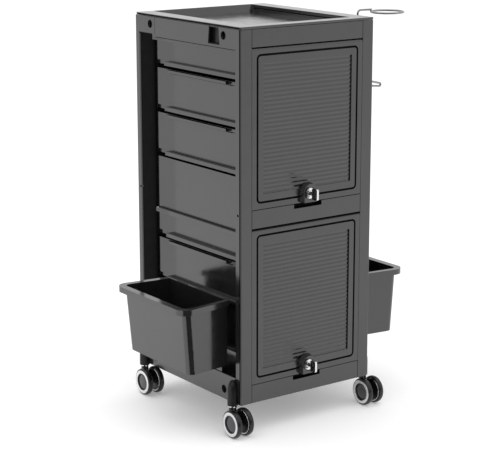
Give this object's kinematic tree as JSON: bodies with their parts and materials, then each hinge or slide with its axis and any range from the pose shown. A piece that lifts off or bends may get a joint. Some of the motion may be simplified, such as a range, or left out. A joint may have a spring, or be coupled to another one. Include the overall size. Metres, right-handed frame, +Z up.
{
  "type": "rolling salon trolley",
  "caption": "Tall lockable salon trolley on twin-wheel casters, with flip-up doors over drawers, a sunken top tray, side bins and a ring for a hair dryer.",
  "frame": {"origin": "on the floor, under the middle of the whole trolley's outline", "axes": "+Z up, -Y out of the doors, +X to the right of someone facing the doors"},
  "size_m": [0.5856, 0.412, 0.842],
  "materials": {
    "charcoal_plastic": "satin moulded, charcoal",
    "black_plastic": "gloss moulded, black",
    "chrome": "polished",
    "steel": "plain",
    "wheel_plastic": "satin, black"
  },
  "bodies": {
    "cabinet": {"side_frame_left": "charcoal_plastic", "side_frame_right": "charcoal_plastic", "top_tray": "charcoal_plastic", "top_rail": "charcoal_plastic", "middle_rail": "charcoal_plastic", "bottom_rail": "charcoal_plastic", "hinge_pins": "steel", "upper_tub": "charcoal_plastic", "lower_tub": "charcoal_plastic", "divider_box": "charcoal_plastic", "base_box": "charcoal_plastic", "base_plate": "charcoal_plastic", "back_panel": "charcoal_plastic", "drawer_runners": "charcoal_plastic", "bin_hangers": "charcoal_plastic", "caster_sockets": "black_plastic", "caster_collars": "chrome", "side_screws": "black_plastic", "holder_sockets": "black_plastic", "cord_hook": "chrome"},
    "upper_door": {"upper_door": "charcoal_plastic", "upper_lock_boss": "black_plastic", "upper_lock_barrel": "chrome"},
    "upper_lock": {"upper_lock_plug": "chrome", "upper_key": "chrome", "upper_lock_cam": "steel"},
    "lower_door": {"lower_door": "charcoal_plastic", "lower_lock_boss": "black_plastic", "lower_lock_barrel": "chrome"},
    "lower_lock": {"lower_lock_plug": "chrome", "lower_key": "chrome", "lower_lock_cam": "steel"},
    "upper_drawer_1": {"upper_drawer_1": "charcoal_plastic"},
    "upper_drawer_2": {"upper_drawer_2": "charcoal_plastic"},
    "lower_drawer_1": {"lower_drawer_1": "charcoal_plastic"},
    "lower_drawer_2": {"lower_drawer_2": "charcoal_plastic"},
    "side_bin_left": {"side_bin_left": "charcoal_plastic"},
    "side_bin_right": {"side_bin_right": "charcoal_plastic"},
    "dryer_ring": {"dryer_ring": "chrome", "dryer_ring_plug": "black_plastic"},
    "caster_front_left": {"caster_body_front_left": "black_plastic", "axle_front_left": "steel"},
    "wheel_front_left_left": {"wheel_front_left_left": "wheel_plastic"},
    "wheel_front_left_right": {"wheel_front_left_right": "wheel_plastic"},
    "caster_back_left": {"caster_body_back_left": "black_plastic", "axle_back_left": "steel"},
    "wheel_back_left_left": {"wheel_back_left_left": "wheel_plastic"},
    "wheel_back_left_right": {"wheel_back_left_right": "wheel_plastic"},
    "caster_front_right": {"caster_body_front_right": "black_plastic", "axle_front_right": "steel"},
    "wheel_front_right_left": {"wheel_front_right_left": "wheel_plastic"},
    "wheel_front_right_right": {"wheel_front_right_right": "wheel_plastic"},
    "caster_back_right": {"caster_body_back_right": "black_plastic", "axle_back_right": "steel"},
    "wheel_back_right_left": {"wheel_back_right_left": "wheel_plastic"},
    "wheel_back_right_right": {"wheel_back_right_right": "wheel_plastic"}
  },
  "joints": [
    {"name": "upper_door_hinge", "type": "hinge", "parent": "cabinet", "child": "upper_door", "pos_m": [0, -0.165, 0.7862], "axis": [-1, 0, 0], "range_deg": [0, 90]},
    {"name": "upper_lock_turn", "type": "hinge", "parent": "upper_door", "child": "upper_lock", "pos_m": [0, -0.172, 0.4892], "axis": [0, 1, 0], "range_deg": [0, 90]},
    {"name": "lower_door_hinge", "type": "hinge", "parent": "cabinet", "child": "lower_door", "pos_m": [0, -0.165, 0.4233], "axis": [-1, 0, 0], "range_deg": [0, 90]},
    {"name": "lower_lock_turn", "type": "hinge", "parent": "lower_door", "child": "lower_lock", "pos_m": [0, -0.172, 0.1242], "axis": [0, 1, 0], "range_deg": [0, 90]},
    {"name": "upper_drawer_1_slide", "type": "slide", "parent": "cabinet", "child": "upper_drawer_1", "axis": [0, -1, 0], "range_m": [0, 0.11]},
    {"name": "upper_drawer_2_slide", "type": "slide", "parent": "cabinet", "child": "upper_drawer_2", "axis": [0, -1, 0], "range_m": [0, 0.236]},
    {"name": "lower_drawer_1_slide", "type": "slide", "parent": "cabinet", "child": "lower_drawer_1", "axis": [0, -1, 0], "range_m": [0, 0.126]},
    {"name": "lower_drawer_2_slide", "type": "slide", "parent": "cabinet", "child": "lower_drawer_2", "axis": [0, -1, 0], "range_m": [0, 0.236]},
    {"name": "side_bin_left_lift", "type": "slide", "parent": "cabinet", "child": "side_bin_left", "axis": [0, 0, 1], "range_m": [0, 0.05]},
    {"name": "side_bin_right_lift", "type": "slide", "parent": "cabinet", "child": "side_bin_right", "axis": [0, 0, 1], "range_m": [0, 0.05]},
    {"name": "dryer_ring_pull", "type": "slide", "parent": "cabinet", "child": "dryer_ring", "axis": [1, 0, 0], "range_m": [0, 0.03]},
    {"name": "caster_front_left_swivel", "type": "hinge", "parent": "cabinet", "child": "caster_front_left", "pos_m": [-0.173, -0.15, 0.045], "axis": [0, 0, 1], "continuous": true},
    {"name": "wheel_front_left_left_spin", "type": "hinge", "parent": "caster_front_left", "child": "wheel_front_left_left", "pos_m": [-0.1875, -0.17, 0.0295], "axis": [1, 0, 0], "continuous": true},
    {"name": "wheel_front_left_right_spin", "type": "hinge", "parent": "caster_front_left", "child": "wheel_front_left_right", "pos_m": [-0.1585, -0.17, 0.0295], "axis": [1, 0, 0], "continuous": true},
    {"name": "caster_back_left_swivel", "type": "hinge", "parent": "cabinet", "child": "caster_back_left", "pos_m": [-0.173, 0.184, 0.045], "axis": [0, 0, 1], "continuous": true},
    {"name": "wheel_back_left_left_spin", "type": "hinge", "parent": "caster_back_left", "child": "wheel_back_left_left", "pos_m": [-0.1875, 0.164, 0.0295], "axis": [1, 0, 0], "continuous": true},
    {"name": "wheel_back_left_right_spin", "type": "hinge", "parent": "caster_back_left", "child": "wheel_back_left_right", "pos_m": [-0.1585, 0.164, 0.0295], "axis": [1, 0, 0], "continuous": true},
    {"name": "caster_front_right_swivel", "type": "hinge", "parent": "cabinet", "child": "caster_front_right", "pos_m": [0.173, -0.15, 0.045], "axis": [0, 0, 1], "continuous": true},
    {"name": "wheel_front_right_left_spin", "type": "hinge", "parent": "caster_front_right", "child": "wheel_front_right_left", "pos_m": [0.1585, -0.17, 0.0295], "axis": [1, 0, 0], "continuous": true},
    {"name": "wheel_front_right_right_spin", "type": "hinge", "parent": "caster_front_right", "child": "wheel_front_right_right", "pos_m": [0.1875, -0.17, 0.0295], "axis": [1, 0, 0], "continuous": true},
    {"name": "caster_back_right_swivel", "type": "hinge", "parent": "cabinet", "child": "caster_back_right", "pos_m": [0.173, 0.184, 0.045], "axis": [0, 0, 1], "continuous": true},
    {"name": "wheel_back_right_left_spin", "type": "hinge", "parent": "caster_back_right", "child": "wheel_back_right_left", "pos_m": [0.1585, 0.164, 0.0295], "axis": [1, 0, 0], "continuous": true},
    {"name": "wheel_back_right_right_spin", "type": "hinge", "parent": "caster_back_right", "child": "wheel_back_right_right", "pos_m": [0.1875, 0.164, 0.0295], "axis": [1, 0, 0], "continuous": true}
  ],
  "couplings": [
    {"joint": "upper_drawer_1_slide", "follows": "upper_door_hinge", "m_per_rad": 0.07},
    {"joint": "upper_drawer_2_slide", "follows": "upper_door_hinge", "m_per_rad": 0.15},
    {"joint": "lower_drawer_1_slide", "follows": "lower_door_hinge", "m_per_rad": 0.08},
    {"joint": "lower_drawer_2_slide", "follows": "lower_door_hinge", "m_per_rad": 0.15}
  ]
}
